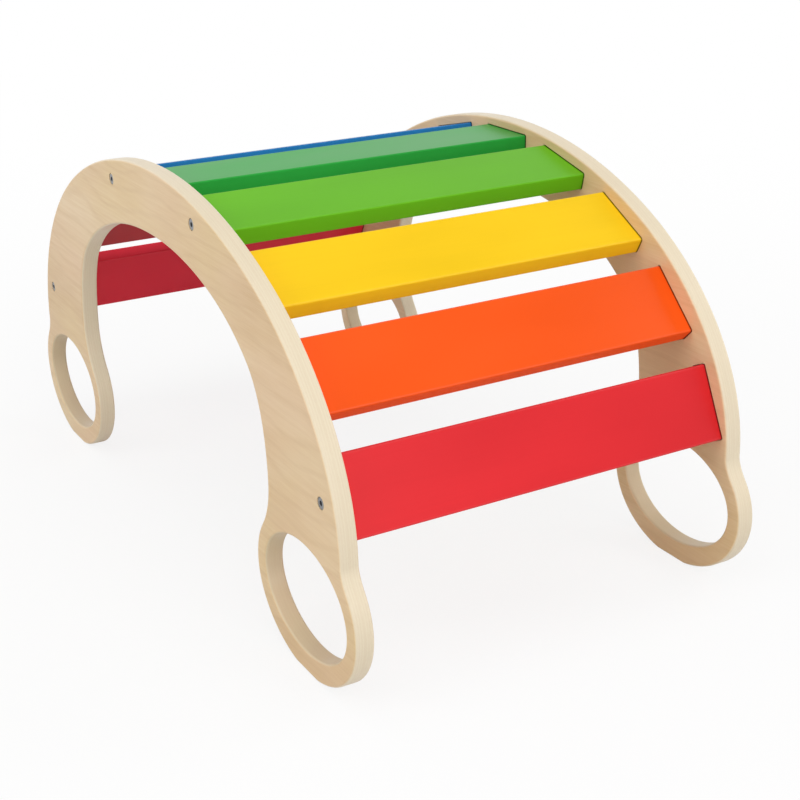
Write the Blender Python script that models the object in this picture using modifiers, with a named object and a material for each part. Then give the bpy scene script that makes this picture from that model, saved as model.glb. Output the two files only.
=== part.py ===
"""Rainbow rocker: two arched plywood side panels joined by nine painted slats.

Units are metres, with +Z up. +X runs along the arch away from the red slat, and +Y runs
along the slats, from the front panel to the back panel. The origin is on the floor, below
the middle of the arch.
Each side panel is one board: an arch that ends in two oval ring feet. The slats' ends sit
in shallow pockets routed in the panels' inner faces, and four of the slats are bolted to
both panels with hex socket bolts, which run in threaded inserts in the slats' end grain.
"""
import math

import bmesh
import bpy
from mathutils import Matrix, Vector
from mathutils.geometry import interpolate_bezier

# Side panels, seen along Y. X is measured from the middle of the arch, Z from the floor.
WIDTH = 0.490                     # over the panels' outer faces
PANEL_THICKNESS = 0.021
PANEL_EDGE_RADIUS = 0.003         # rounding of the panel's two long edges

# Arc of the slats' outer faces: half an ellipse that springs at the height of the ring feet
SLAT_ARC_HALF_SPAN = 0.429
SLAT_ARC_RISE = 0.350

# Outer edge of the arch. Stations are lengths along the slats' arc from its top.
CREST_MARGIN = 0.011              # outside the slats' arc, at the top
SHOULDER_STATION = 0.258
SHOULDER_MARGIN = 0.018           # outside the slats' arc, at the shoulder
SHOULDER_EASE = math.radians(3.2) # how much flatter than the slats' arc it runs there

# Inner edge of the arch
CREST_DEPTH = 0.0745              # height of the board at the top of the arch
HAUNCH_STATION = 0.294
HAUNCH_DEPTH = 0.0685             # inside the slats' arc, at the haunch
HAUNCH_TURN = math.radians(9.5)   # how much steeper than the slats' arc it runs there

# Leg above the ring foot
NECK_INSET = 0.003                # of its outer edge from the slats' arc's springing
LEG_WIDTH = 0.152

# Ring foot: an upright oval ring, cut level where it stands on the floor
RING_HALF_HEIGHT = 0.085
RING_OUTER_BULGE = 0.027          # past the leg's outer edge
RING_INNER_BULGE = 0.034          # past the leg's inner edge
FOOT_CUT = 0.002                  # taken off the oval's lowest point
RING_SIDE_WALL = 0.0195
RING_TOP_WALL = 0.024             # between the hole and the oval's top, inside the leg
RING_FOOT_WALL = 0.023            # between the hole and the floor

# Hollow fillets between the leg and the ring
OUTER_FILLET_REACH = 0.011        # out from the leg's edge
OUTER_FILLET_RISE = 0.024
INNER_FILLET_REACH = 0.018
INNER_FILLET_RISE = 0.052

# Slats
SLAT_COUNT = 9
END_SLAT_STATION = 0.482          # of the first and last slats' middles
SLAT_WIDTH = 0.083
SLAT_THICKNESS = 0.020
SLAT_EDGE_RADIUS = 0.002
SLAT_COLOURS = (
    ("red", (0.83, 0.035, 0.045)),
    ("orange", (1.0, 0.13, 0.012)),
    ("yellow", (1.0, 0.62, 0.018)),
    ("lime", (0.17, 0.52, 0.02)),
    ("green", (0.018, 0.42, 0.05)),
    ("blue", (0.012, 0.17, 0.46)),
    ("violet", (0.12, 0.03, 0.30)),
    ("burgundy", (0.26, 0.012, 0.04)),
    ("crimson", (0.47, 0.022, 0.055)),
)

# Pockets for the slats' ends
POCKET_DEPTH = 0.008
POCKET_SIDE_GAP = 0.0005          # round the slat
POCKET_END_GAP = 0.0003           # between the slat's end and the pocket's floor

# Bolts and threaded inserts
BOLT_HEAD_DIAMETER = 0.0125
BOLT_HEAD_HEIGHT = 0.0028
BOLT_HEAD_CHAMFER = 0.0006
BOLT_HEAD_SINK = 0.0005           # of the head's face below the panel's outer face
BOLT_DIAMETER = 0.006
BOLT_LENGTH = 0.035               # under the head
BOLT_TIP_CHAMFER = 0.001
SOCKET_ACROSS_FLATS = 0.005
SOCKET_DEPTH = 0.0018
BORE_GAP = 0.0004                 # round the shank and round the head
SEAT_GAP = 0.0003                 # under the head, and round and behind the insert
INSERT_WALL = 0.0016
INSERT_FLANGE_RIM = 0.00125
INSERT_FLANGE_HEIGHT = 0.0015
INSERT_LENGTH = 0.018
BORE_SPARE = 0.0035               # drilled past the bolt's tip

# Fineness of the curves
ARCH_STEPS = 11                   # in each of the arch's four curves
FILLET_STEPS = 5
RING_STEPS = 11                   # along the ring, from the fillet to the foot
HOLE_STEPS = 44
ROUND_STEPS = 24

BIRCH = (0.74, 0.56, 0.36)
STEEL = (0.42, 0.42, 0.43)
BRASS = (0.62, 0.47, 0.20)

# Sizes that follow from the ones above
RING_Z = RING_HALF_HEIGHT - FOOT_CUT
RING_HALF_LENGTH = (LEG_WIDTH + RING_OUTER_BULGE + RING_INNER_BULGE) / 2
NECK_OUTER_X = SLAT_ARC_HALF_SPAN - NECK_INSET
RING_X = NECK_OUTER_X + RING_OUTER_BULGE - RING_HALF_LENGTH
SLAT_END_BELOW_FACE = PANEL_THICKNESS - POCKET_DEPTH + POCKET_END_GAP
SLAT_LENGTH = WIDTH - 2 * SLAT_END_BELOW_FACE
BOLT_TIP_BELOW_FACE = BOLT_HEAD_SINK + BOLT_HEAD_HEIGHT + BOLT_LENGTH
INSERT_DIAMETER = BOLT_DIAMETER + 2 * (BORE_GAP + INSERT_WALL)
INSERT_FLANGE_DIAMETER = INSERT_DIAMETER + 2 * INSERT_FLANGE_RIM


def clear_scene():
    for obj in list(bpy.data.objects):
        bpy.data.objects.remove(obj, do_unlink=True)


def make_collection(name):
    collection = bpy.data.collections.new(name)
    bpy.context.scene.collection.children.link(collection)
    return collection


def make_material(name, colour, roughness, metallic=0.0):
    material = bpy.data.materials.new(name)
    material.use_nodes = True
    shader = material.node_tree.nodes["Principled BSDF"]
    shader.inputs["Base Color"].default_value = (*colour, 1.0)
    shader.inputs["Roughness"].default_value = roughness
    shader.inputs["Metallic"].default_value = metallic
    return material


def add_object(name, data, collection, parent=None):
    obj = bpy.data.objects.new(name, data)
    collection.objects.link(obj)
    obj.parent = parent
    return obj


def mesh_from(name, bm):
    mesh = bpy.data.meshes.new(name)
    bm.to_mesh(mesh)
    bm.free()
    mesh.shade_smooth()
    mesh.set_sharp_from_angle(angle=math.radians(35))
    return mesh


def cut(obj, cutter):
    """Takes the cutter's shape out of the object with an exact Boolean."""
    cutter.hide_render = True
    cutter.display_type = "WIRE"
    boolean = obj.modifiers.new(cutter.name, "BOOLEAN")
    boolean.operation = "DIFFERENCE"
    boolean.solver = "EXACT"
    boolean.object = cutter


def slat_arc(station):
    """Point on the slats' arc and its outward normal, at a length along the arc from the top.

    A positive station lies at +X. The length is summed over short chords of the ellipse.
    """
    chord_count = 4000
    step = math.pi / 2 / chord_count
    angle, run = 0.0, 0.0
    while run < abs(station) and angle < math.pi / 2:
        run += step * math.hypot(
            SLAT_ARC_HALF_SPAN * math.cos(angle), SLAT_ARC_RISE * math.sin(angle)
        )
        angle += step
    side = math.copysign(1.0, station)
    point = Vector((
        side * SLAT_ARC_HALF_SPAN * math.sin(angle),
        RING_Z + SLAT_ARC_RISE * math.cos(angle),
    ))
    normal = Vector((
        side * math.sin(angle) / SLAT_ARC_HALF_SPAN,
        math.cos(angle) / SLAT_ARC_RISE,
    )).normalized()
    return point, normal


def curve_between(start, start_way, end, end_way, steps):
    """A smooth curve from start to end that leaves and arrives along the two given ways.

    The handles reach towards the crossing of the two tangents, as far as they do on an arc
    that turns by the same angle, so equal tangents give a round arc.
    """
    start_way, end_way = start_way.normalized(), end_way.normalized()
    cross = start_way.x * end_way.y - start_way.y * end_way.x
    chord = end - start
    to_crossing = (chord.x * end_way.y - chord.y * end_way.x) / cross
    from_crossing = (start_way.x * chord.y - start_way.y * chord.x) / cross
    turn = start_way.angle(end_way)
    share = 4.0 / 3.0 * math.tan(turn / 4) / math.tan(turn / 2)
    handle_out = start + start_way * to_crossing * share
    handle_in = end - end_way * from_crossing * share
    return [
        Vector((p.x, p.y))
        for p in interpolate_bezier(start, handle_out, handle_in, end, steps + 1)
    ]


def ring_point(angle):
    """Point on the ring foot's oval. The angle turns from +X towards +Z."""
    return Vector((
        RING_X + RING_HALF_LENGTH * math.cos(angle),
        RING_Z + RING_HALF_HEIGHT * math.sin(angle),
    ))


def ring_way(angle):
    """Way along the oval at that angle, clockwise, so that it runs down on the outer side."""
    return Vector((
        RING_HALF_LENGTH * math.sin(angle),
        -RING_HALF_HEIGHT * math.cos(angle),
    )).normalized()


def ring_run(start_angle, end_angle):
    return [
        ring_point(start_angle + (end_angle - start_angle) * i / RING_STEPS)
        for i in range(RING_STEPS + 1)
    ]


def half_outline():
    """The right half of the panel's edge, clockwise from the arch's top to its underside."""
    level, down, up = Vector((1, 0)), Vector((0, -1)), Vector((0, 1))
    arc_point, arc_normal = slat_arc(SHOULDER_STATION)
    shoulder = arc_point + arc_normal * SHOULDER_MARGIN
    slope = slat_turn(arc_normal) - SHOULDER_EASE
    shoulder_way = Vector((math.cos(slope), -math.sin(slope)))
    arc_point, arc_normal = slat_arc(HAUNCH_STATION)
    haunch = arc_point - arc_normal * HAUNCH_DEPTH
    slope = slat_turn(arc_normal) + HAUNCH_TURN
    haunch_way = Vector((-math.cos(slope), math.sin(slope)))
    crest_outer = Vector((0.0, RING_Z + SLAT_ARC_RISE + CREST_MARGIN))
    crest_inner = crest_outer - Vector((0.0, CREST_DEPTH))

    outer_joint = math.acos(1 - (RING_OUTER_BULGE - OUTER_FILLET_REACH) / RING_HALF_LENGTH)
    inner_joint = math.acos((RING_INNER_BULGE - INNER_FILLET_REACH) / RING_HALF_LENGTH - 1)
    foot = math.asin(RING_Z / RING_HALF_HEIGHT)
    outer_side = ring_run(outer_joint, -foot)
    inner_side = ring_run(foot - math.pi, inner_joint - 2 * math.pi)
    neck_outer = Vector((NECK_OUTER_X, outer_side[0].y + OUTER_FILLET_RISE))
    neck_inner = Vector((NECK_OUTER_X - LEG_WIDTH, inner_side[-1].y + INNER_FILLET_RISE))

    runs = (
        curve_between(crest_outer, level, shoulder, shoulder_way, ARCH_STEPS),
        curve_between(shoulder, shoulder_way, neck_outer, down, ARCH_STEPS),
        curve_between(neck_outer, down, outer_side[0], ring_way(outer_joint), FILLET_STEPS),
        outer_side,
        inner_side,
        curve_between(inner_side[-1], ring_way(inner_joint), neck_inner, up, FILLET_STEPS),
        curve_between(neck_inner, up, haunch, haunch_way, ARCH_STEPS),
        curve_between(haunch, haunch_way, crest_inner, -level, ARCH_STEPS),
    )
    points = [runs[0][0]]
    for run in runs:
        points += [p for p in run if (p - points[-1]).length > 1e-6]
    return points


def full_outline():
    half = half_outline()
    mirrored = [Vector((-p.x, p.y)) for p in reversed(half[1:-1])]
    return half + mirrored


def hole_outline(side):
    """The ring foot's oval hole, at +X for a side of 1 and at -X for a side of -1."""
    bottom = RING_FOOT_WALL
    top = RING_Z + RING_HALF_HEIGHT - RING_TOP_WALL
    half_length = RING_HALF_LENGTH - RING_SIDE_WALL
    return [
        Vector((
            side * RING_X + half_length * math.cos(2 * math.pi * i / HOLE_STEPS),
            (top + bottom) / 2 + (top - bottom) / 2 * math.sin(2 * math.pi * i / HOLE_STEPS),
        ))
        for i in range(HOLE_STEPS)
    ]


def add_loop(curve, points):
    spline = curve.splines.new("POLY")
    spline.points.add(len(points) - 1)
    for target, point in zip(spline.points, points):
        target.co = (point.x, point.y, 0.0, 1.0)
    spline.use_cyclic_u = True


def panel_mesh(name):
    """The panel's board as a closed mesh: the outline and its two holes, with round edges.

    The board is drawn in its own XY plane and is PANEL_THICKNESS deep in Z, about its middle.
    """
    curve = bpy.data.curves.new(name + "_outline", "CURVE")
    curve.dimensions = "2D"
    curve.fill_mode = "BOTH"
    curve.extrude = PANEL_THICKNESS / 2 - PANEL_EDGE_RADIUS
    curve.bevel_depth = PANEL_EDGE_RADIUS
    curve.bevel_resolution = 1
    curve.offset = -PANEL_EDGE_RADIUS
    add_loop(curve, full_outline())
    add_loop(curve, hole_outline(1))
    add_loop(curve, hole_outline(-1))
    drawn = add_object(name + "_outline", curve, bpy.context.scene.collection)
    evaluated = drawn.evaluated_get(bpy.context.evaluated_depsgraph_get())
    mesh = bpy.data.meshes.new_from_object(evaluated)
    bpy.data.objects.remove(drawn, do_unlink=True)

    bm = bmesh.new()
    bm.from_mesh(mesh)
    bpy.data.meshes.remove(mesh)
    bmesh.ops.remove_doubles(bm, verts=bm.verts, dist=0.00001)
    bmesh.ops.recalc_face_normals(bm, faces=bm.faces)
    return mesh_from(name, bm)


def board_mesh(name, width, thickness, length, edge_radius):
    """A board along Y with its four long edges rounded."""
    bm = bmesh.new()
    bmesh.ops.create_cube(bm, size=1.0)
    bmesh.ops.scale(bm, verts=bm.verts, vec=(width, length, thickness))
    long_edges = [
        e for e in bm.edges if abs(e.verts[0].co.y - e.verts[1].co.y) > length / 2
    ]
    bmesh.ops.bevel(
        bm, geom=long_edges, offset=edge_radius, segments=3, profile=0.5, affect="EDGES"
    )
    return mesh_from(name, bm)


def turned_object(name, profile, collection):
    """A turned solid about its own Z, from a profile of (radius, z) that runs down outside."""
    bm = bmesh.new()
    verts = [bm.verts.new((radius, 0.0, z)) for radius, z in profile]
    for a, b in zip(verts[:-1], verts[1:]):
        bm.edges.new((a, b))
    if profile[0][0] > 0:
        bm.edges.new((verts[-1], verts[0]))
    mesh = bpy.data.meshes.new(name)
    bm.to_mesh(mesh)
    bm.free()
    obj = add_object(name, mesh, collection)
    screw = obj.modifiers.new("turn", "SCREW")
    screw.axis = "Z"
    screw.steps = ROUND_STEPS
    screw.render_steps = ROUND_STEPS
    screw.use_merge_vertices = True
    screw.merge_threshold = 0.00001
    screw.use_smooth_shade = False
    return obj


def slat_turn(normal):
    """Turn about Y that brings a slat's own Z onto its outward normal."""
    return math.atan2(normal.x, normal.y)


def slat_place(number):
    """The middle of the slat's section, as X and Z, and its turn about Y."""
    pitch = 2 * END_SLAT_STATION / (SLAT_COUNT - 1)
    point, normal = slat_arc((number - 1) * pitch - END_SLAT_STATION)
    centre = point - normal * SLAT_THICKNESS / 2
    return centre, slat_turn(normal)


def bolt_axes():
    """The bolted slats, with X and Z of their bolts: the two ends and the middle's neighbours."""
    middle = (SLAT_COUNT + 1) // 2
    numbers = sorted({1, middle - 1, middle + 1, SLAT_COUNT})
    return [(number, *slat_place(number)[0]) for number in numbers]


def outward(side):
    """Turn about X that points an object's own Z out of the panel at that side of Y."""
    return -side * math.pi / 2


def add_slats(collection, cutters, parent):
    slats = {}
    for number in range(1, SLAT_COUNT + 1):
        colour_name, colour = SLAT_COLOURS[(number - 1) % len(SLAT_COLOURS)]
        centre, turn = slat_place(number)
        name = f"slat_{number}_{colour_name}"
        mesh = board_mesh(name, SLAT_WIDTH, SLAT_THICKNESS, SLAT_LENGTH, SLAT_EDGE_RADIUS)
        slat = add_object(name, mesh, collection, parent)
        slat.location = (centre.x, 0.0, centre.y)
        slat.rotation_euler = (0.0, turn, 0.0)
        mesh.materials.append(make_material(f"{colour_name}_paint", colour, 0.3))
        slats[number] = slat

    for number, x, z in bolt_axes():
        for side, word in ((-1, "front"), (1, "back")):
            bore = turned_object(
                f"slat_{number}_{word}_bore", insert_bore_profile(), cutters
            )
            bore.location = (x, side * SLAT_LENGTH / 2, z)
            bore.rotation_euler = (outward(side), 0.0, 0.0)
            cut(slats[number], bore)
    return slats


def insert_bore_profile():
    """The stepped hole in a slat's end grain. Z = 0 is the slat's end face."""
    flange_radius = INSERT_FLANGE_DIAMETER / 2 + SEAT_GAP
    body_radius = INSERT_DIAMETER / 2 + SEAT_GAP
    tip_radius = BOLT_DIAMETER / 2 + BORE_GAP
    above = 0.002
    flange_floor = -INSERT_FLANGE_HEIGHT - 2 * SEAT_GAP
    body_floor = -INSERT_LENGTH - 2 * SEAT_GAP
    bolt_tip = SLAT_END_BELOW_FACE - BOLT_TIP_BELOW_FACE
    tip_floor = min(bolt_tip, body_floor) - BORE_SPARE
    return (
        (0.0, above),
        (flange_radius, above),
        (flange_radius, flange_floor),
        (body_radius, flange_floor),
        (body_radius, body_floor),
        (tip_radius, body_floor),
        (tip_radius, tip_floor),
        (0.0, tip_floor),
    )


def insert_profile():
    """The threaded insert. Z = 0 is the slat's end face, and the flange lies just below it."""
    inner = BOLT_DIAMETER / 2 + BORE_GAP
    top = -SEAT_GAP
    return (
        (inner, top),
        (INSERT_FLANGE_DIAMETER / 2, top),
        (INSERT_FLANGE_DIAMETER / 2, top - INSERT_FLANGE_HEIGHT),
        (INSERT_DIAMETER / 2, top - INSERT_FLANGE_HEIGHT),
        (INSERT_DIAMETER / 2, top - INSERT_LENGTH),
        (inner, top - INSERT_LENGTH),
    )


def bolt_profile():
    """The bolt. Z = 0 is the panel's outer face."""
    head_radius = BOLT_HEAD_DIAMETER / 2
    shank_radius = BOLT_DIAMETER / 2
    top = -BOLT_HEAD_SINK
    underside = top - BOLT_HEAD_HEIGHT
    tip = underside - BOLT_LENGTH
    return (
        (0.0, top),
        (head_radius - BOLT_HEAD_CHAMFER, top),
        (head_radius, top - BOLT_HEAD_CHAMFER),
        (head_radius, underside),
        (shank_radius, underside),
        (shank_radius, tip + BOLT_TIP_CHAMFER),
        (shank_radius - BOLT_TIP_CHAMFER, tip),
        (0.0, tip),
    )


def panel_bore_profile():
    """The counterbored hole through the panel. Z = 0 is the panel's outer face."""
    head_radius = BOLT_HEAD_DIAMETER / 2 + BORE_GAP
    shank_radius = BOLT_DIAMETER / 2 + BORE_GAP
    above = 0.002
    floor = -BOLT_HEAD_SINK - BOLT_HEAD_HEIGHT - SEAT_GAP
    through = POCKET_DEPTH / 2 - PANEL_THICKNESS
    return (
        (0.0, above),
        (head_radius, above),
        (head_radius, floor),
        (shank_radius, floor),
        (shank_radius, through),
        (0.0, through),
    )


def add_pocket_cutters(name, side, cutters):
    """The boards that rout one panel's pockets, joined as one cutter of separate bodies."""
    inner_face = side * (WIDTH / 2 - PANEL_THICKNESS)
    joined = bmesh.new()
    for number in range(1, SLAT_COUNT + 1):
        centre, turn = slat_place(number)
        mesh = board_mesh(
            name,
            SLAT_WIDTH + 2 * POCKET_SIDE_GAP,
            SLAT_THICKNESS + 2 * POCKET_SIDE_GAP,
            2 * POCKET_DEPTH,
            SLAT_EDGE_RADIUS + POCKET_SIDE_GAP,
        )
        mesh.transform(
            Matrix.Translation((centre.x, inner_face, centre.y))
            @ Matrix.Rotation(turn, 4, "Y")
        )
        joined.from_mesh(mesh)
        bpy.data.meshes.remove(mesh)
    return add_object(name, mesh_from(name, joined), cutters)


def add_panel(name, side, collection, cutters, parent):
    panel = add_object(name, panel_mesh(name), collection, parent)
    panel.location = (0.0, side * (WIDTH - PANEL_THICKNESS) / 2, 0.0)
    panel.rotation_euler = (math.pi / 2, 0.0, 0.0)
    panel.data.materials.append(make_material(f"{name}_birch", BIRCH, 0.5))
    cut(panel, add_pocket_cutters(name + "_pockets", side, cutters))
    for number, x, z in bolt_axes():
        bore = turned_object(f"{name}_bore_{number}", panel_bore_profile(), cutters)
        bore.location = (x, side * WIDTH / 2, z)
        bore.rotation_euler = (outward(side), 0.0, 0.0)
        cut(panel, bore)
    return panel


def add_fasteners(side, word, collection, cutters, parent):
    """The bolt and the threaded insert at each bolted slat's end."""
    for number, x, z in bolt_axes():
        bolt = turned_object(f"{word}_bolt_{number}", bolt_profile(), collection)
        bolt.parent = parent
        bolt.location = (x, side * WIDTH / 2, z)
        bolt.rotation_euler = (outward(side), 0.0, 0.0)
        bolt.data.materials.append(make_material(f"{word}_bolt_{number}_steel", STEEL, 0.3, 1.0))

        bm = bmesh.new()
        socket_radius = SOCKET_ACROSS_FLATS / 2 / math.cos(math.pi / 6)
        bmesh.ops.create_cone(
            bm, cap_ends=True, segments=6, radius1=socket_radius, radius2=socket_radius,
            depth=2 * SOCKET_DEPTH,
        )
        socket = add_object(
            f"{word}_bolt_{number}_socket", mesh_from("socket", bm), cutters
        )
        socket.location = (x, side * (WIDTH / 2 - BOLT_HEAD_SINK), z)
        socket.rotation_euler = (outward(side), 0.0, 0.0)
        cut(bolt, socket)

        insert = turned_object(f"{word}_insert_{number}", insert_profile(), collection)
        insert.parent = parent
        insert.location = (x, side * SLAT_LENGTH / 2, z)
        insert.rotation_euler = (outward(side), 0.0, 0.0)
        insert.data.materials.append(
            make_material(f"{word}_insert_{number}_brass", BRASS, 0.35, 1.0)
        )


def main():
    clear_scene()
    parts = make_collection("rainbow_rocker")
    cutters = make_collection("cutters")
    rocker = add_object("rocker_origin", None, parts)
    add_panel("front_side_panel", -1, parts, cutters, rocker)
    add_panel("back_side_panel", 1, parts, cutters, rocker)
    add_slats(parts, cutters, rocker)
    add_fasteners(-1, "front", parts, cutters, rocker)
    add_fasteners(1, "back", parts, cutters, rocker)


main()
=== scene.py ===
"""Rainbow rocker: the finished look of the arch, its painted slats and its bolts, in a studio.

Everything is in metres in the model's own frame: +X along the arch away from the red slat,
+Y along the slats from the front panel to the back panel, +Z up, with the floor at Z = 0.
"""
import math

import bmesh
import bpy
from mathutils import Matrix, Vector
from mathutils.geometry import interpolate_bezier


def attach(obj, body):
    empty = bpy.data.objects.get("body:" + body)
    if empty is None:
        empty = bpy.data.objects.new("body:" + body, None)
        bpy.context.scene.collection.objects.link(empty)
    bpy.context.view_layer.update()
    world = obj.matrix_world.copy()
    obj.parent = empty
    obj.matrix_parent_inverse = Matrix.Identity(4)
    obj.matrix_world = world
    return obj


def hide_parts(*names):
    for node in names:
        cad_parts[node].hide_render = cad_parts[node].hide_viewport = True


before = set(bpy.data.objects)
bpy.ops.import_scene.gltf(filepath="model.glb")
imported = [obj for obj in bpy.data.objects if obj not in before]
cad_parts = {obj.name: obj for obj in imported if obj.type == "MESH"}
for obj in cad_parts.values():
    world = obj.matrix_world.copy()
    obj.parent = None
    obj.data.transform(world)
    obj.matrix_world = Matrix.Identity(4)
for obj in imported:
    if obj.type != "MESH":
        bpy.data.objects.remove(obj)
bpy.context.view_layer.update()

# Sizes of the boards and bolts, as in the model's own design
WIDTH = 0.490
PANEL_THICKNESS = 0.021
PANEL_EDGE_RADIUS = 0.003
SLAT_ARC_HALF_SPAN = 0.429
SLAT_ARC_RISE = 0.350
CREST_MARGIN = 0.011
SHOULDER_STATION = 0.258
SHOULDER_MARGIN = 0.018
SHOULDER_EASE = math.radians(3.2)
CREST_DEPTH = 0.0745
HAUNCH_STATION = 0.294
HAUNCH_DEPTH = 0.0685
HAUNCH_TURN = math.radians(9.5)
NECK_INSET = 0.003
LEG_WIDTH = 0.152
RING_HALF_HEIGHT = 0.085
RING_OUTER_BULGE = 0.027
RING_INNER_BULGE = 0.034
FOOT_CUT = 0.002
RING_SIDE_WALL = 0.0195
RING_TOP_WALL = 0.024
RING_FOOT_WALL = 0.023
OUTER_FILLET_REACH = 0.011
OUTER_FILLET_RISE = 0.024
INNER_FILLET_REACH = 0.018
INNER_FILLET_RISE = 0.052
SLAT_COUNT = 9
END_SLAT_STATION = 0.482
SLAT_WIDTH = 0.083
SLAT_THICKNESS = 0.020
SLAT_EDGE_RADIUS = 0.002
POCKET_DEPTH = 0.008
POCKET_END_GAP = 0.0003
BOLTED_SLATS = (1, 4, 6, 9)
BOLT_HEAD_DIAMETER = 0.0125
BOLT_HEAD_HEIGHT = 0.0028
BOLT_HEAD_SINK = 0.0005
BOLT_DIAMETER = 0.006
BOLT_LENGTH = 0.035
BOLT_TIP_CHAMFER = 0.001
SOCKET_ACROSS_FLATS = 0.005
SOCKET_DEPTH = 0.0018
BORE_GAP = 0.0004
SEAT_GAP = 0.0003

# The pockets' sides are 0.4 mm further out than in the model, so that the dark line round each
# slat's end shows
POCKET_SIDE_GAP = 0.0009

# The bolt heads' rims are rounded, where the model has a 0.6 mm chamfer
BOLT_RIM_RADIUS = 0.0007

# The hidden bores for the inserts are plain, where the model's are stepped, and are 0.2 mm wider
# and 0.5 mm deeper than those
INSERT_BORE_DIAMETER = 0.0133
INSERT_BORE_DEPTH = 0.029

# How far a cutter stands out of the face that it cuts
BORE_OVERSHOOT = 0.002
SOCKET_OVERSHOOT = 0.001

RING_Z = RING_HALF_HEIGHT - FOOT_CUT
RING_HALF_LENGTH = (LEG_WIDTH + RING_OUTER_BULGE + RING_INNER_BULGE) / 2
NECK_OUTER_X = SLAT_ARC_HALF_SPAN - NECK_INSET
RING_X = NECK_OUTER_X + RING_OUTER_BULGE - RING_HALF_LENGTH
HOLE_TOP = RING_Z + RING_HALF_HEIGHT - RING_TOP_WALL
HOLE_Z = (HOLE_TOP + RING_FOOT_WALL) / 2
HOLE_HALF_HEIGHT = (HOLE_TOP - RING_FOOT_WALL) / 2
HOLE_HALF_LENGTH = RING_HALF_LENGTH - RING_SIDE_WALL
SLAT_LENGTH = WIDTH - 2 * (PANEL_THICKNESS - POCKET_DEPTH + POCKET_END_GAP)
PANEL_MIDDLE_Y = (WIDTH - PANEL_THICKNESS) / 2
PANEL_INNER_Y = WIDTH / 2 - PANEL_THICKNESS

# Fineness of the drawn curves
ARC_CHORDS = 4000
ARCH_STEPS = 44
FILLET_STEPS = 16
RING_STEPS = 44
HOLE_STEPS = 176
PANEL_EDGE_STEPS = 4
SLAT_EDGE_STEPS = 5
POCKET_EDGE_STEPS = 4
BORE_STEPS = 48
INSERT_BORE_STEPS = 32
BOLT_STEPS = 64
BOLT_RIM_STEPS = 6
SAME_POINT = 1e-6
MERGE_DISTANCE = 0.00001
BOARD_SHARP_ANGLE = math.radians(32)
BOLT_SHARP_ANGLE = math.radians(25)
FLAT_FACE_WEIGHT = 100

# Paints, from the red end
PAINTS = (
    ("red", (0.75, 0.014, 0.021)),
    ("orange", (1.0, 0.096, 0.001)),
    ("yellow", (0.93, 0.585, 0.001)),
    ("lime", (0.135, 0.50, 0.001)),
    ("green", (0.012, 0.355, 0.036)),
    ("blue", (0.004, 0.17, 0.46)),
    ("violet", (0.12, 0.018, 0.32)),
    ("burgundy", (0.54, 0.002, 0.010)),
    ("crimson", (0.86, 0.024, 0.055)),
)
PAINT_SPECULAR = 0.26

# How much of its own colour a paint keeps in its darker flecks and in the painted shade where it
# meets a panel, what its lighter parts gain, and how much white is in its painted highlight
PAINT_DARKER = 0.90
PAINTED_SHADE_AT_PANEL = 0.16
PAINT_LIGHTER = 1.04
PAINT_LIFT = 0.003
PAINTED_HIGHLIGHT_WHITE = 0.2

# Bands of a slat's paint: the painted highlight on a rounded edge, in from the slat's side; the
# rough one on the sawn side, also in from the side; and the painted shade where the slat enters
# a panel, out from the panel's face
PAINTED_HIGHLIGHT_MIDDLE = 0.0014
PAINTED_HIGHLIGHT_REACH = 0.0012
ROUGH_BAND_FROM = 0.0012
ROUGH_BAND_FULL = 0.0004
PAINTED_SHADE_FROM = 0.0016
PAINTED_SHADE_FULL = 0.0004

# Veneer on the panels' faces: its tones from dark to light, and what is mixed into them
VENEER_TONES = (
    (0.30, (0.675, 0.455, 0.240)),
    (0.52, (0.775, 0.560, 0.325)),
    (0.72, (0.825, 0.635, 0.395)),
)
VENEER_YELLOW = (0.765, 0.575, 0.270)
VENEER_PINK = (0.800, 0.545, 0.360)
VENEER_GROWTH = (0.56, 0.34, 0.15)
VENEER_STREAK = (0.61, 0.39, 0.19)
VENEER_FIBRE = (0.88, 0.72, 0.48)
GROWTH_RINGS_PER_METRE = 42
GROWTH_WAVE = 0.16
VENEER_SPECULAR = 0.35

# Plies on the panels' edges, with painted shade making them darker on the walls of the rings'
# holes
PLY_COUNT = 15
PLY_LIGHT = (0.805, 0.70, 0.52)
PLY_DARK = (0.785, 0.67, 0.49)
PLY_END_GRAIN = (0.60, 0.45, 0.29)
PLY_PALE = (0.87, 0.775, 0.60)
PLY_PAINTED_SHADE_IN_HOLE = (0.66, 0.53, 0.33)

# How far in from a panel's face the plies begin to show, and show in full
PLY_FROM = 0.0002
PLY_FULL = 0.0012

# Bolts and inserts: darker and lighter marks
STEEL_MARKS = ((0.20, 0.205, 0.215), (0.33, 0.335, 0.345))
BRASS_MARKS = ((0.50, 0.37, 0.15), (0.68, 0.52, 0.24))

# Camera: place, way it looks, roll and lens
CAMERA_PLACE = Vector((-1.5024, 0.8013, 0.8126))
CAMERA_WAY = Vector((0.8019, -0.4640, -0.3764))
CAMERA_ROLL = math.radians(-0.72)
CAMERA_LENS = 66.7
CAMERA_SENSOR = 36.0
CAMERA_CLIP_START = 0.01

# Soft round lamps: name, place and power in watts
LAMPS = (
    ("overhead", (-0.6, 0.5, 3.0), 28),
    ("left_fill", (-0.2, 3.7, 1.9), 48),
    ("front_fill", (-3.4, 0.2, 1.8), 46),
    ("right_fill", (-0.9, -3.7, 1.9), 48),
    ("back_fill", (3.3, 1.2, 1.9), 13),
)
LAMP_DIAMETER = 3.2
LAMP_TARGET = (0.0, 0.0, 0.2)

# Floor: its size, how fast it fades into the background, how much of its shadow is kept from
# the camera, and its greys
FLOOR_HALF_SIZE = 14.0
FLOOR_FADE = -1.1
FLOOR_SHADOW_LOSS = 0.80
FLOOR_BOUNCE = (0.76, 0.76, 0.76, 1.0)
FLOOR_MATTE = (0.90, 0.90, 0.90, 1.0)

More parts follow.
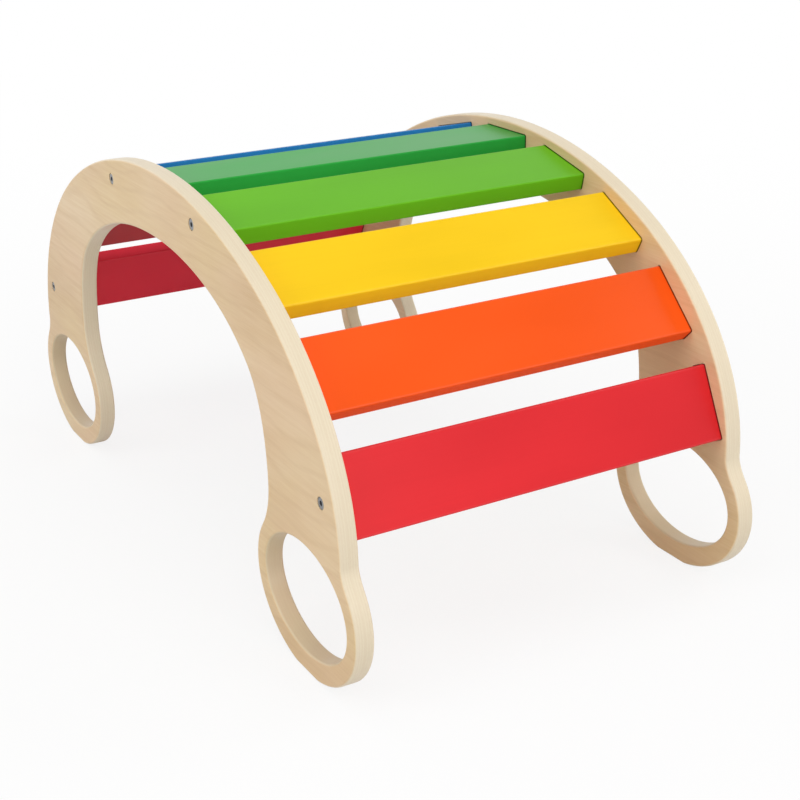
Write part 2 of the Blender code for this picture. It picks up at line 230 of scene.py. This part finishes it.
# Background: its light on the object, and how it dims overhead in reflections
WORLD_LIGHT = 0.36
MIRRORED_DIM_FROM = 0.40
MIRRORED_DIM_TO = 0.75
MIRRORED_OVERHEAD = 0.30

WHITE = (1.0, 1.0, 1.0, 1.0)


# ---------------------------------------------------------------- shapes

def slat_arc(station):
    """The point and outward normal, in X and Z, at a length along the arc from its top."""
    step = math.pi / 2 / ARC_CHORDS
    angle, run = 0.0, 0.0
    while run < abs(station) and angle < math.pi / 2:
        run += step * math.hypot(
            SLAT_ARC_HALF_SPAN * math.cos(angle), SLAT_ARC_RISE * math.sin(angle)
        )
        angle += step
    side = math.copysign(1.0, station)
    point = Vector((
        side * SLAT_ARC_HALF_SPAN * math.sin(angle),
        RING_Z + SLAT_ARC_RISE * math.cos(angle),
    ))
    normal = Vector((
        side * math.sin(angle) / SLAT_ARC_HALF_SPAN,
        math.cos(angle) / SLAT_ARC_RISE,
    )).normalized()
    return point, normal


def slat_turn(normal):
    return math.atan2(normal.x, normal.y)


def slat_place(number):
    """The middle of a slat, in X and Z, and its turn about Y."""
    pitch = 2 * END_SLAT_STATION / (SLAT_COUNT - 1)
    point, normal = slat_arc((number - 1) * pitch - END_SLAT_STATION)
    return point - normal * SLAT_THICKNESS / 2, slat_turn(normal)


def curve_between(start, start_way, end, end_way, steps):
    """Points of a smooth curve that leaves and arrives in the given ways."""
    start_way, end_way = start_way.normalized(), end_way.normalized()
    cross = start_way.x * end_way.y - start_way.y * end_way.x
    chord = end - start
    to_crossing = (chord.x * end_way.y - chord.y * end_way.x) / cross
    from_crossing = (start_way.x * chord.y - start_way.y * chord.x) / cross
    turn = start_way.angle(end_way)
    share = 4.0 / 3.0 * math.tan(turn / 4) / math.tan(turn / 2)
    handle_out = start + start_way * to_crossing * share
    handle_in = end - end_way * from_crossing * share
    return [
        Vector((p.x, p.y))
        for p in interpolate_bezier(start, handle_out, handle_in, end, steps + 1)
    ]


def ring_point(angle):
    return Vector((
        RING_X + RING_HALF_LENGTH * math.cos(angle),
        RING_Z + RING_HALF_HEIGHT * math.sin(angle),
    ))


def ring_way(angle):
    """The clockwise way along the ring's edge at an angle."""
    return Vector((
        RING_HALF_LENGTH * math.sin(angle),
        -RING_HALF_HEIGHT * math.cos(angle),
    )).normalized()


def ring_run(start_angle, end_angle):
    return [
        ring_point(start_angle + (end_angle - start_angle) * i / RING_STEPS)
        for i in range(RING_STEPS + 1)
    ]


def full_outline():
    """The panel's whole edge, clockwise from the arch's top."""
    level, down, up = Vector((1, 0)), Vector((0, -1)), Vector((0, 1))
    arc_point, arc_normal = slat_arc(SHOULDER_STATION)
    shoulder = arc_point + arc_normal * SHOULDER_MARGIN
    slope = slat_turn(arc_normal) - SHOULDER_EASE
    shoulder_way = Vector((math.cos(slope), -math.sin(slope)))
    arc_point, arc_normal = slat_arc(HAUNCH_STATION)
    haunch = arc_point - arc_normal * HAUNCH_DEPTH
    slope = slat_turn(arc_normal) + HAUNCH_TURN
    haunch_way = Vector((-math.cos(slope), math.sin(slope)))
    crest_outer = Vector((0.0, RING_Z + SLAT_ARC_RISE + CREST_MARGIN))
    crest_inner = crest_outer - Vector((0.0, CREST_DEPTH))

    outer_joint = math.acos(1 - (RING_OUTER_BULGE - OUTER_FILLET_REACH) / RING_HALF_LENGTH)
    inner_joint = math.acos((RING_INNER_BULGE - INNER_FILLET_REACH) / RING_HALF_LENGTH - 1)
    foot = math.asin(RING_Z / RING_HALF_HEIGHT)
    outer_side = ring_run(outer_joint, -foot)
    inner_side = ring_run(foot - math.pi, inner_joint - 2 * math.pi)
    neck_outer = Vector((NECK_OUTER_X, outer_side[0].y + OUTER_FILLET_RISE))
    neck_inner = Vector((NECK_OUTER_X - LEG_WIDTH, inner_side[-1].y + INNER_FILLET_RISE))
    runs = (
        curve_between(crest_outer, level, shoulder, shoulder_way, ARCH_STEPS),
        curve_between(shoulder, shoulder_way, neck_outer, down, ARCH_STEPS),
        curve_between(neck_outer, down, outer_side[0], ring_way(outer_joint), FILLET_STEPS),
        outer_side,
        inner_side,
        curve_between(inner_side[-1], ring_way(inner_joint), neck_inner, up, FILLET_STEPS),
        curve_between(neck_inner, up, haunch, haunch_way, ARCH_STEPS),
        curve_between(haunch, haunch_way, crest_inner, -level, ARCH_STEPS),
    )
    half = [runs[0][0]]
    for run in runs:
        half += [p for p in run if (p - half[-1]).length > SAME_POINT]
    return half + [Vector((-p.x, p.y)) for p in reversed(half[1:-1])]


def hole_outline(side):
    return [
        Vector((
            side * RING_X + HOLE_HALF_LENGTH * math.cos(2 * math.pi * i / HOLE_STEPS),
            HOLE_Z + HOLE_HALF_HEIGHT * math.sin(2 * math.pi * i / HOLE_STEPS),
        ))
        for i in range(HOLE_STEPS)
    ]


def new_object(name, data):
    obj = bpy.data.objects.new(name, data)
    bpy.context.scene.collection.objects.link(obj)
    return obj


def mesh_from(bm, name):
    """Turns a finished bmesh into a mesh, and frees it."""
    mesh = bpy.data.meshes.new(name)
    bm.to_mesh(mesh)
    bm.free()
    return mesh


def evaluated_mesh(obj):
    bpy.context.view_layer.update()
    graph = bpy.context.evaluated_depsgraph_get()
    return bpy.data.meshes.new_from_object(obj.evaluated_get(graph), depsgraph=graph)


def cut(obj, cutter):
    """Takes the cutter's shape out of the object, for good, and removes the cutter."""
    boolean = obj.modifiers.new("cut", "BOOLEAN")
    boolean.operation = "DIFFERENCE"
    boolean.solver = "EXACT"
    boolean.object = cutter
    result = evaluated_mesh(obj)
    old = obj.data
    obj.modifiers.clear()
    obj.data = result
    bpy.data.meshes.remove(old)
    bpy.data.objects.remove(cutter, do_unlink=True)


def shade(obj, sharp_angle):
    """Shades smoothly up to sharp edges, and keeps flat faces flat up to their rounded edges."""
    obj.data.shade_smooth()
    obj.data.set_sharp_from_angle(angle=sharp_angle)
    modifier = obj.modifiers.new("weighted_normals", "WEIGHTED_NORMAL")
    modifier.mode = "FACE_AREA"
    modifier.weight = FLAT_FACE_WEIGHT
    modifier.keep_sharp = True


def panel_blank(name, side):
    """A panel with its ring holes and rounded edges, before its pockets and bores."""
    curve = bpy.data.curves.new(name + "_outline", "CURVE")
    curve.dimensions = "2D"
    curve.fill_mode = "BOTH"
    curve.extrude = PANEL_THICKNESS / 2 - PANEL_EDGE_RADIUS
    curve.bevel_depth = PANEL_EDGE_RADIUS
    curve.bevel_resolution = PANEL_EDGE_STEPS
    curve.offset = -PANEL_EDGE_RADIUS
    for points in (full_outline(), hole_outline(1), hole_outline(-1)):
        spline = curve.splines.new("POLY")
        spline.points.add(len(points) - 1)
        for target, point in zip(spline.points, points):
            target.co = (point.x, point.y, 0.0, 1.0)
        spline.use_cyclic_u = True
    drawn = new_object(name + "_outline", curve)
    mesh = evaluated_mesh(drawn)
    bpy.data.objects.remove(drawn, do_unlink=True)
    bm = bmesh.new()
    bm.from_mesh(mesh)
    bmesh.ops.remove_doubles(bm, verts=bm.verts, dist=MERGE_DISTANCE)
    bmesh.ops.recalc_face_normals(bm, faces=bm.faces)
    bm.to_mesh(mesh)
    bm.free()
    mesh.transform(
        Matrix.Translation((0.0, side * PANEL_MIDDLE_Y, 0.0))
        @ Matrix.Rotation(math.pi / 2, 4, "X")
    )
    return new_object(name, mesh)


def board(name, number, y, size, edge_radius, edge_steps):
    """A board at a slat's place, its middle at y, with its edges along Y rounded.

    The size is its width, its length along Y and its thickness.
    """
    bm = bmesh.new()
    bmesh.ops.create_cube(bm, size=1.0)
    bmesh.ops.scale(bm, verts=bm.verts, vec=size)
    long_edges = [
        e for e in bm.edges if abs(e.verts[0].co.y - e.verts[1].co.y) > size[1] / 2
    ]
    bmesh.ops.bevel(
        bm, geom=long_edges, offset=edge_radius, segments=edge_steps, profile=0.5,
        affect="EDGES",
    )
    mesh = mesh_from(bm, name)
    centre, turn = slat_place(number)
    mesh.transform(
        Matrix.Translation((centre.x, y, centre.y)) @ Matrix.Rotation(turn, 4, "Y")
    )
    return mesh


def pocket_cutter(side):
    """The boards that rout one panel's pockets, as one object."""
    size = (
        SLAT_WIDTH + 2 * POCKET_SIDE_GAP, 2 * POCKET_DEPTH, SLAT_THICKNESS + 2 * POCKET_SIDE_GAP
    )
    joined = bmesh.new()
    for number in range(1, SLAT_COUNT + 1):
        mesh = board(
            "pocket", number, side * PANEL_INNER_Y, size,
            SLAT_EDGE_RADIUS + POCKET_SIDE_GAP, POCKET_EDGE_STEPS,
        )
        joined.from_mesh(mesh)
        bpy.data.meshes.remove(mesh)
    return new_object("pockets", mesh_from(joined, "pockets"))


def turned(bm, profile, steps, place):
    """Adds a closed turned solid to the bmesh.

    The profile is pairs of radius and height, from the axis at the top to the axis below.
    """
    rings = []
    for radius, z in profile:
        if radius == 0.0:
            rings.append([bm.verts.new(place @ Vector((0.0, 0.0, z)))])
        else:
            rings.append([
                bm.verts.new(place @ Vector((
                    radius * math.cos(2 * math.pi * i / steps),
                    radius * math.sin(2 * math.pi * i / steps),
                    z,
                )))
                for i in range(steps)
            ])
    for upper, lower in zip(rings[:-1], rings[1:]):
        for i in range(steps):
            j = (i + 1) % steps
            corners = [upper[i % len(upper)], lower[i % len(lower)]]
            if len(lower) > 1:
                corners.append(lower[j])
            if len(upper) > 1:
                corners.append(upper[j])
            bm.faces.new(corners)
    bmesh.ops.recalc_face_normals(bm, faces=bm.faces)


def bolt_place(number, side, y):
    """A frame whose Z points out of the part at that side, at a bolted slat's middle."""
    centre, _ = slat_place(number)
    return Matrix.Translation((centre.x, side * y, centre.y)) @ Matrix.Rotation(
        -side * math.pi / 2, 4, "X"
    )


def bore_cutter(side):
    """The counterbored holes of one panel, as one object."""
    head = BOLT_HEAD_DIAMETER / 2 + BORE_GAP
    shank = BOLT_DIAMETER / 2 + BORE_GAP
    seat = -BOLT_HEAD_SINK - BOLT_HEAD_HEIGHT - SEAT_GAP
    through = POCKET_DEPTH / 2 - PANEL_THICKNESS
    profile = (
        (0.0, BORE_OVERSHOOT), (head, BORE_OVERSHOOT), (head, seat),
        (shank, seat), (shank, through), (0.0, through),
    )
    bm = bmesh.new()
    for number in BOLTED_SLATS:
        turned(bm, profile, BORE_STEPS, bolt_place(number, side, WIDTH / 2))
    return new_object("bores", mesh_from(bm, "bores"))


def insert_bore_cutter(number):
    """The holes for the inserts in one slat's two ends, as one object."""
    radius = INSERT_BORE_DIAMETER / 2
    profile = (
        (0.0, BORE_OVERSHOOT), (radius, BORE_OVERSHOOT),
        (radius, -INSERT_BORE_DEPTH), (0.0, -INSERT_BORE_DEPTH),
    )
    bm = bmesh.new()
    for side in (-1, 1):
        turned(bm, profile, INSERT_BORE_STEPS, bolt_place(number, side, SLAT_LENGTH / 2))
    return new_object("slat_bores", mesh_from(bm, "slat_bores"))


def make_panel(name, node, side):
    panel = panel_blank(name, side)
    cut(panel, pocket_cutter(side))
    cut(panel, bore_cutter(side))
    shade(panel, BOARD_SHARP_ANGLE)
    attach(panel, "root")
    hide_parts(node)
    return panel


def make_slat(name, node, number):
    size = (SLAT_WIDTH, SLAT_LENGTH, SLAT_THICKNESS)
    slat = new_object(name, board(name, number, 0.0, size, SLAT_EDGE_RADIUS, SLAT_EDGE_STEPS))
    if number in BOLTED_SLATS:
        cut(slat, insert_bore_cutter(number))
    shade(slat, BOARD_SHARP_ANGLE)
    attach(slat, "root")
    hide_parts(node)
    return slat


def make_bolt(name, node, number, side):
    """A flat-headed bolt with a softened rim, a chamfered tip and a hex socket."""
    head, shank, rim = BOLT_HEAD_DIAMETER / 2, BOLT_DIAMETER / 2, BOLT_RIM_RADIUS
    top = -BOLT_HEAD_SINK
    underside = top - BOLT_HEAD_HEIGHT
    tip = underside - BOLT_LENGTH
    rim_angles = [math.radians(90 * i / BOLT_RIM_STEPS) for i in range(BOLT_RIM_STEPS + 1)]
    profile = [(0.0, top)]
    profile += [
        (head - rim + rim * math.sin(a), top - rim + rim * math.cos(a)) for a in rim_angles
    ]
    profile += [
        (head, underside), (shank, underside), (shank, tip + BOLT_TIP_CHAMFER),
        (shank - BOLT_TIP_CHAMFER, tip), (0.0, tip),
    ]
    place = bolt_place(number, side, WIDTH / 2)
    bm = bmesh.new()
    turned(bm, profile, BOLT_STEPS, place)
    bolt = new_object(name, mesh_from(bm, name))

    socket = bmesh.new()
    corner = SOCKET_ACROSS_FLATS / 2 / math.cos(math.pi / 6)
    middle = top + (SOCKET_OVERSHOOT - SOCKET_DEPTH) / 2
    bmesh.ops.create_cone(
        socket, cap_ends=True, segments=6, radius1=corner, radius2=corner,
        depth=SOCKET_OVERSHOOT + SOCKET_DEPTH,
        matrix=place @ Matrix.Translation((0.0, 0.0, middle)),
    )
    cut(bolt, new_object("socket", mesh_from(socket, "socket")))
    shade(bolt, BOLT_SHARP_ANGLE)
    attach(bolt, "root")
    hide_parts(node)
    return bolt


# ---------------------------------------------------------------- materials

class Nodes:
    """A short way to write the node tree of a material or a world."""

    def __init__(self, owner):
        self.owner = owner
        owner.use_nodes = True
        self.tree = owner.node_tree
        self.tree.nodes.clear()

    def add(self, kind, inputs=None, **settings):
        """Adds a node and returns its outputs. An input is a socket to link or a value."""
        node = self.tree.nodes.new(kind)
        for key, value in settings.items():
            setattr(node, key, value)
        for key, value in (inputs or {}).items():
            if isinstance(value, bpy.types.NodeSocket):
                self.tree.links.new(value, node.inputs[key])
            else:
                node.inputs[key].default_value = value
        return node.outputs

    def place(self):
        """The place in the object's own frame, which is the model's frame."""
        return self.add("ShaderNodeTexCoord")["Object"]

    def maths(self, operation, *values):
        return self.add("ShaderNodeMath", dict(enumerate(values)), operation=operation)[0]

    def vector(self, operation, *values, output="Vector"):
        return self.add(
            "ShaderNodeVectorMath", dict(enumerate(values)), operation=operation
        )[output]

    def noise(self, place, scale, detail, roughness, shift=(0.0, 0.0, 0.0)):
        """Noise that is as fine along each axis as that axis's scale says."""
        spot = self.add("ShaderNodeMapping", {
            "Vector": place, "Scale": scale, "Location": shift,
        })["Vector"]
        return self.add("ShaderNodeTexNoise", {
            "Vector": spot, "Scale": 1.0, "Detail": detail, "Roughness": roughness,
        })["Fac"]

    def ramp(self, value, stops):
        """A colour that follows the value through stops of position and colour."""
        node = self.tree.nodes.new("ShaderNodeValToRGB")
        self.tree.links.new(value, node.inputs["Fac"])
        elements = node.color_ramp.elements
        while len(elements) > 1:
            elements.remove(elements[-1])
        for i, (position, colour) in enumerate(stops):
            element = elements[0] if i == 0 else elements.new(position)
            element.position = position
            element.color = (*colour, 1.0)
        return node.outputs["Color"]

    def spread(self, value, from_low, from_high, to_low, to_high):
        """Maps one range onto another, and stays within it."""
        return self.add("ShaderNodeMapRange", {
            "Value": value, "From Min": from_low, "From Max": from_high,
            "To Min": to_low, "To Max": to_high,
        })["Result"]

    def mix(self, factor, first, second):
        """Mixes two colours. The numbers are the node's sockets for colours."""
        inputs = {"Factor": factor}
        for socket, value in ((6, first), (7, second)):
            inputs[socket] = value if isinstance(value, bpy.types.NodeSocket) else (*value, 1.0)
        return self.add("ShaderNodeMix", inputs, data_type="RGBA")[2]

    def tint(self, colour, value, none_at, full_at, share, tint):
        """Mixes a tint into a colour where the value nears full_at, up to the share."""
        return self.mix(self.spread(value, none_at, full_at, 0.0, share), colour, tint)

    def bump(self, strength, distance, height):
        return self.add("ShaderNodeBump", {
            "Strength": strength, "Distance": distance, "Height": height,
        })["Normal"]

    def surface(self, inputs):
        return self.finish(self.add("ShaderNodeBsdfPrincipled", inputs)["BSDF"])

    def finish(self, surface, kind="ShaderNodeOutputMaterial"):
        self.add(kind, {"Surface": surface})
        return self.owner


def birch_material(side):
    """Lacquered birch plywood: a veneer face with grain along X, and plies on the edges."""
    n = Nodes(bpy.data.materials.new("birch_plywood_" + ("back" if side > 0 else "front")))
    place = n.place()
    split = n.add("ShaderNodeSeparateXYZ", {"Vector": place})
    from_middle = n.maths("ABSOLUTE", n.maths("SUBTRACT", split["Y"], side * PANEL_MIDDLE_Y))
    depth = n.maths("SUBTRACT", PANEL_THICKNESS / 2, from_middle)

    # Face veneer
    shift = (0.37 * side, 0.0, 0.21 * side)
    hue_shift = (4.0 + side, 0.0, 2.0)
    warp = n.noise(place, scale=(2.2, 0.0, 3.4), detail=3.0, roughness=0.5, shift=shift)
    broad = n.noise(place, scale=(3.0, 0.0, 7.0), detail=3.0, roughness=0.55, shift=shift)
    streaks = n.noise(place, scale=(7.0, 0.0, 260.0), detail=3.0, roughness=0.6, shift=shift)
    fibres = n.noise(place, scale=(28.0, 0.0, 1300.0), detail=2.0, roughness=0.5, shift=shift)
    hue = n.noise(place, scale=(5.0, 0.0, 9.0), detail=2.0, roughness=0.5, shift=hue_shift)
    height = n.maths("ADD", split["Z"], n.maths("MULTIPLY", warp, GROWTH_WAVE))
    growth = n.maths("SINE", n.maths(
        "MULTIPLY", height, 2 * math.pi * GROWTH_RINGS_PER_METRE
    ))
    veneer = n.ramp(broad, VENEER_TONES)
    veneer = n.tint(veneer, hue, none_at=0.50, full_at=0.68, share=0.45, tint=VENEER_YELLOW)
    veneer = n.tint(veneer, hue, none_at=0.48, full_at=0.32, share=0.35, tint=VENEER_PINK)
    veneer = n.tint(veneer, growth, none_at=0.55, full_at=1.0, share=0.16, tint=VENEER_GROWTH)
    veneer = n.tint(veneer, streaks, none_at=0.35, full_at=0.65, share=0.22, tint=VENEER_STREAK)
    veneer = n.tint(veneer, fibres, none_at=0.42, full_at=0.70, share=0.20, tint=VENEER_FIBRE)

    # Plies on the edges
    layers = n.maths("PINGPONG", n.maths("DIVIDE", depth, PANEL_THICKNESS / PLY_COUNT), 1.0)
    end_grain = n.noise(place, scale=(300.0, 1400.0, 300.0), detail=2.0, roughness=0.6)
    tone = n.noise(place, scale=(16.0, 500.0, 16.0), detail=2.0, roughness=0.5)
    plies = n.tint(PLY_LIGHT, layers, none_at=0.40, full_at=0.60, share=1.0, tint=PLY_DARK)
    plies = n.tint(plies, end_grain, none_at=0.4, full_at=0.7, share=0.13, tint=PLY_END_GRAIN)
    plies = n.tint(plies, tone, none_at=0.35, full_at=0.65, share=0.15, tint=PLY_PALE)

    # Distance from the nearest ring hole's middle, where 1 is the hole's wall
    from_hole = n.vector("SUBTRACT", n.vector("ABSOLUTE", place), (RING_X, 0.0, HOLE_Z))
    from_hole = n.vector("MULTIPLY", from_hole, (1 / HOLE_HALF_LENGTH, 0.0, 1 / HOLE_HALF_HEIGHT))
    in_hole = n.vector("LENGTH", from_hole, output="Value")
    # Painted shade: the plies are darker on the walls of the ring holes
    plies = n.tint(plies, in_hole, none_at=1.04, full_at=1.02, share=0.60, tint=PLY_PAINTED_SHADE_IN_HOLE)

    relief = n.maths("ADD", streaks, n.maths("MULTIPLY", fibres, 0.6))
    return n.surface({
        "Base Color": n.tint(
            veneer, depth, none_at=PLY_FROM, full_at=PLY_FULL, share=1.0, tint=plies
        ),
        "Roughness": n.spread(streaks, from_low=0.3, from_high=0.7, to_low=0.30, to_high=0.42),
        "Specular IOR Level": VENEER_SPECULAR,
        "Normal": n.bump(strength=0.10, distance=0.0004, height=relief),
    })


def paint_material(name, colour, number):
    """Satin paint over a plywood slat: the grain along Y just shows through the film."""
    n = Nodes(bpy.data.materials.new("paint_" + name))
    place = n.place()
    shift = (number * 1.7, number * 0.9, 0.0)
    mottle = n.noise(place, scale=(7.0, 2.2, 7.0), detail=2.0, roughness=0.5, shift=shift)
    grain = n.noise(place, scale=(420.0, 9.0, 420.0), detail=3.0, roughness=0.6, shift=shift)
    peel = n.noise(place, scale=(260.0, 260.0, 260.0), detail=2.0, roughness=0.5, shift=shift)
    darker = tuple(PAINT_DARKER * c for c in colour)
    lighter = tuple(min(1.0, PAINT_LIGHTER * c + PAINT_LIFT) for c in colour)
    film = n.tint(darker, mottle, none_at=0.35, full_at=0.65, share=1.0, tint=lighter)
    film = n.tint(film, grain, none_at=0.45, full_at=0.75, share=0.14, tint=darker)

    # Distance across the slat from its middle: a painted highlight brightens the film on the
    # rounded edges, and the film is rougher on the sawn ones
    centre, turn = slat_place(number)
    from_centre = n.vector("SUBTRACT", place, (centre.x, 0.0, centre.y))
    across = n.maths("ABSOLUTE", n.vector(
        "DOT_PRODUCT", from_centre, (math.cos(turn), 0.0, -math.sin(turn)), output="Value"
    ))
    from_highlight = n.maths("ABSOLUTE", n.maths(
        "SUBTRACT", across, SLAT_WIDTH / 2 - PAINTED_HIGHLIGHT_MIDDLE
    ))
    # Painted highlight: the paint is brighter along the rounded edges
    highlight_colour = tuple((1 - PAINTED_HIGHLIGHT_WHITE) * c + PAINTED_HIGHLIGHT_WHITE for c in colour)
    film = n.tint(film, from_highlight, none_at=PAINTED_HIGHLIGHT_REACH, full_at=0.0, share=0.12, tint=highlight_colour)
    sawn = n.spread(
        across, from_low=SLAT_WIDTH / 2 - ROUGH_BAND_FROM,
        from_high=SLAT_WIDTH / 2 - ROUGH_BAND_FULL, to_low=0.0, to_high=0.34,
    )

    # Painted shade: a dark line where the slat enters a panel
    along = n.maths("ABSOLUTE", n.add("ShaderNodeSeparateXYZ", {"Vector": place})["Y"])
    film = n.tint(
        film, along, none_at=PANEL_INNER_Y - PAINTED_SHADE_FROM,
        full_at=PANEL_INNER_Y - PAINTED_SHADE_FULL, share=0.85,
        tint=tuple(PAINTED_SHADE_AT_PANEL * c for c in colour),
    )

    gloss = n.spread(mottle, from_low=0.3, from_high=0.7, to_low=0.28, to_high=0.38)
    relief = n.maths("ADD", grain, n.maths("MULTIPLY", peel, 0.5))
    return n.surface({
        "Base Color": film,
        "Roughness": n.maths("ADD", gloss, sawn),
        "Specular IOR Level": PAINT_SPECULAR,
        "Normal": n.bump(strength=0.12, distance=0.0003, height=relief),
    })


def metal_material(name, marks, fineness, smoothest, roughest):
    """Bare metal with fine darker and lighter marks."""
    n = Nodes(bpy.data.materials.new(name))
    noise = n.noise(
        n.place(), scale=(fineness, fineness, fineness), detail=3.0, roughness=0.6
    )
    return n.surface({
        "Base Color": n.mix(noise, *marks),
        "Metallic": 1.0,
        "Roughness": n.spread(
            noise, from_low=0.3, from_high=0.7, to_low=smoothest, to_high=roughest
        ),
    })


def dress(obj, material):
    """Gives the object this one material."""
    obj.data.materials.clear()
    obj.data.materials.append(material)


# ---------------------------------------------------------------- the object

for word, side in (("front", -1), ("back", 1)):
    panel = make_panel(f"{word}_panel_board", f"{word}_side_panel", side)
    dress(panel, birch_material(side))

for number, (paint, colour) in enumerate(PAINTS, start=1):
    slat = make_slat(f"{paint}_slat_board", f"slat_{number}_{paint}", number)
    dress(slat, paint_material(paint, colour, number))

steel = metal_material(
    "bolt_steel", STEEL_MARKS, fineness=900.0, smoothest=0.24, roughest=0.38
)
brass = metal_material(
    "insert_brass", BRASS_MARKS, fineness=700.0, smoothest=0.30, roughest=0.42
)
for word, side in (("front", -1), ("back", 1)):
    for number in BOLTED_SLATS:
        bolt = make_bolt(f"{word}_socket_bolt_{number}", f"{word}_bolt_{number}", number, side)
        dress(bolt, steel)
        dress(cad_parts[f"{word}_insert_{number}"], brass)


# ---------------------------------------------------------------- the studio

def studio_floor():
    """A white floor that keeps a faint shadow and fades into the white background."""
    bm = bmesh.new()
    bmesh.ops.create_grid(bm, x_segments=1, y_segments=1, size=FLOOR_HALF_SIZE)
    floor = new_object("studio_floor", mesh_from(bm, "studio_floor"))
    n = Nodes(bpy.data.materials.new("studio_floor"))
    path = n.add("ShaderNodeLightPath")
    seen = n.maths("MAXIMUM", path["Is Camera Ray"], path["Is Glossy Ray"])
    seen = n.maths("MAXIMUM", seen, path["Is Transmission Ray"])
    distance = n.vector("LENGTH", n.place(), output="Value")
    closeness = n.maths("EXPONENT", n.maths(
        "DIVIDE", n.maths("MULTIPLY", distance, distance), FLOOR_FADE
    ))
    share = n.maths("SUBTRACT", 1.0, n.maths(
        "MULTIPLY", path["Is Camera Ray"], FLOOR_SHADOW_LOSS
    ))
    far = n.maths("SUBTRACT", 1.0, n.maths("MULTIPLY", closeness, share))
    bounce = n.add("ShaderNodeBsdfDiffuse", {"Color": FLOOR_BOUNCE})[0]
    matte = n.add("ShaderNodeBsdfDiffuse", {"Color": FLOOR_MATTE})[0]
    white = n.add("ShaderNodeEmission", {"Color": WHITE, "Strength": 1.0})[0]
    faded = n.add("ShaderNodeMixShader", {0: far, 1: matte, 2: white})[0]
    blend = n.add("ShaderNodeMixShader", {0: seen, 1: bounce, 2: faded})[0]
    dress(floor, n.finish(blend))


def studio_world():
    """White to the camera and in reflections, softer overhead, and an even light on the object."""
    world = bpy.data.worlds.new("studio")
    bpy.context.scene.world = world
    n = Nodes(world)
    path = n.add("ShaderNodeLightPath")
    plain = n.maths("MAXIMUM", path["Is Camera Ray"], path["Is Transmission Ray"])
    way = n.add("ShaderNodeTexCoord")["Generated"]
    height = n.add("ShaderNodeSeparateXYZ", {"Vector": way})["Z"]
    mirrored = n.spread(
        height, from_low=MIRRORED_DIM_FROM, from_high=MIRRORED_DIM_TO,
        to_low=1.0, to_high=MIRRORED_OVERHEAD,
    )
    lit = n.add("ShaderNodeBackground", {"Color": WHITE, "Strength": WORLD_LIGHT})[0]
    shiny = n.add("ShaderNodeBackground", {"Color": WHITE, "Strength": mirrored})[0]
    seen = n.add("ShaderNodeBackground", {"Color": WHITE, "Strength": 1.0})[0]
    lit = n.add("ShaderNodeMixShader", {0: path["Is Glossy Ray"], 1: lit, 2: shiny})[0]
    lit = n.add("ShaderNodeMixShader", {0: plain, 1: lit, 2: seen})[0]
    n.finish(lit, "ShaderNodeOutputWorld")


def soft_light(name, place, power):
    data = bpy.data.lights.new(name, "AREA")
    data.shape = "DISK"
    data.size = LAMP_DIAMETER
    data.energy = power
    light = new_object(name, data)
    light.location = place
    way = Vector(LAMP_TARGET) - Vector(place)
    light.rotation_euler = way.to_track_quat("-Z", "Y").to_euler()


def studio_camera():
    data = bpy.data.cameras.new("camera")
    data.sensor_width = CAMERA_SENSOR
    data.lens = CAMERA_LENS
    data.clip_start = CAMERA_CLIP_START
    camera = new_object("camera", data)
    turn = CAMERA_WAY.to_track_quat("-Z", "Y").to_matrix().to_4x4()
    camera.matrix_world = (
        Matrix.Translation(CAMERA_PLACE) @ turn @ Matrix.Rotation(CAMERA_ROLL, 4, "Z")
    )
    bpy.context.scene.camera = camera


studio_floor()
studio_world()
for name, place, power in LAMPS:
    soft_light(name, place, power)
studio_camera()

scene = bpy.context.scene
scene.view_settings.view_transform = "Standard"
